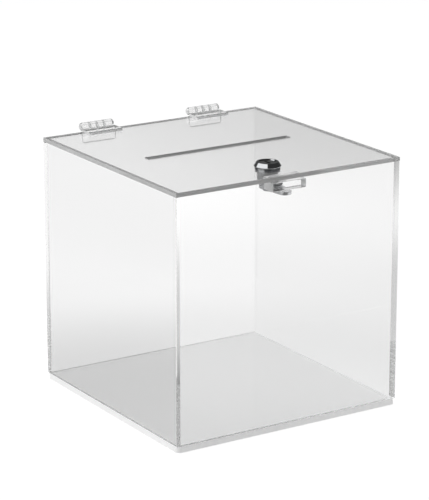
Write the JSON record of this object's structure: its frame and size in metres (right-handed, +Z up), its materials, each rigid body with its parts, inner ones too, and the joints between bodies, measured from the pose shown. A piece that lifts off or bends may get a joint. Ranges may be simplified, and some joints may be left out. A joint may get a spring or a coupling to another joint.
{
  "type": "donation box",
  "caption": "Clear acrylic donation box: a cube with a slotted lid on two clear hinges, held shut by a chrome cam lock that catches under a block inside the front.",
  "frame": {"origin": "middle of the underside, on the surface the box stands on", "axes": "+X to the right along the front, +Y to the back where the hinges are, +Z up through the lid; the lock's end faces -Y"},
  "size_m": [0.2, 0.2065, 0.2065],
  "materials": {
    "clear_acrylic": "colourless cast sheet, polished faces and edges",
    "clear_hinge_plastic": "colourless moulded plastic, polished",
    "bright_chrome": "bright chrome plate",
    "plated_steel": "zinc plate, satin",
    "yellow_brass": "plain stamped brass"
  },
  "bodies": {
    "box": {"base_panel": "clear_acrylic", "front_panel": "clear_acrylic", "back_panel": "clear_acrylic", "left_panel": "clear_acrylic", "right_panel": "clear_acrylic", "catch_block": "clear_acrylic", "hinge_left_body_leaf": "clear_hinge_plastic", "hinge_right_body_leaf": "clear_hinge_plastic", "hinge_left_pin": "clear_hinge_plastic", "hinge_right_pin": "clear_hinge_plastic"},
    "lid": {"lid_panel": "clear_acrylic", "hinge_left_lid_leaf": "clear_hinge_plastic", "hinge_right_lid_leaf": "clear_hinge_plastic", "lock_housing": "bright_chrome", "lock_washer": "plated_steel", "lock_nut": "plated_steel"},
    "lock_core": {"lock_plug": "bright_chrome", "wafer_tumblers": "yellow_brass", "wafer_springs": "plated_steel", "stop_washer": "plated_steel", "lock_cam": "bright_chrome", "cam_screw": "plated_steel"}
  },
  "joints": [
    {"name": "lid_hinge", "type": "hinge", "parent": "box", "child": "lid", "pos_m": [0, 0.10325, 0.20325], "axis": [-1, 0, 0], "range_deg": [0, 260]},
    {"name": "lock_turn", "type": "hinge", "parent": "lid", "child": "lock_core", "pos_m": [0, -0.068, 0.2], "axis": [0, 0, -1], "range_deg": [0, 90]}
  ]
}
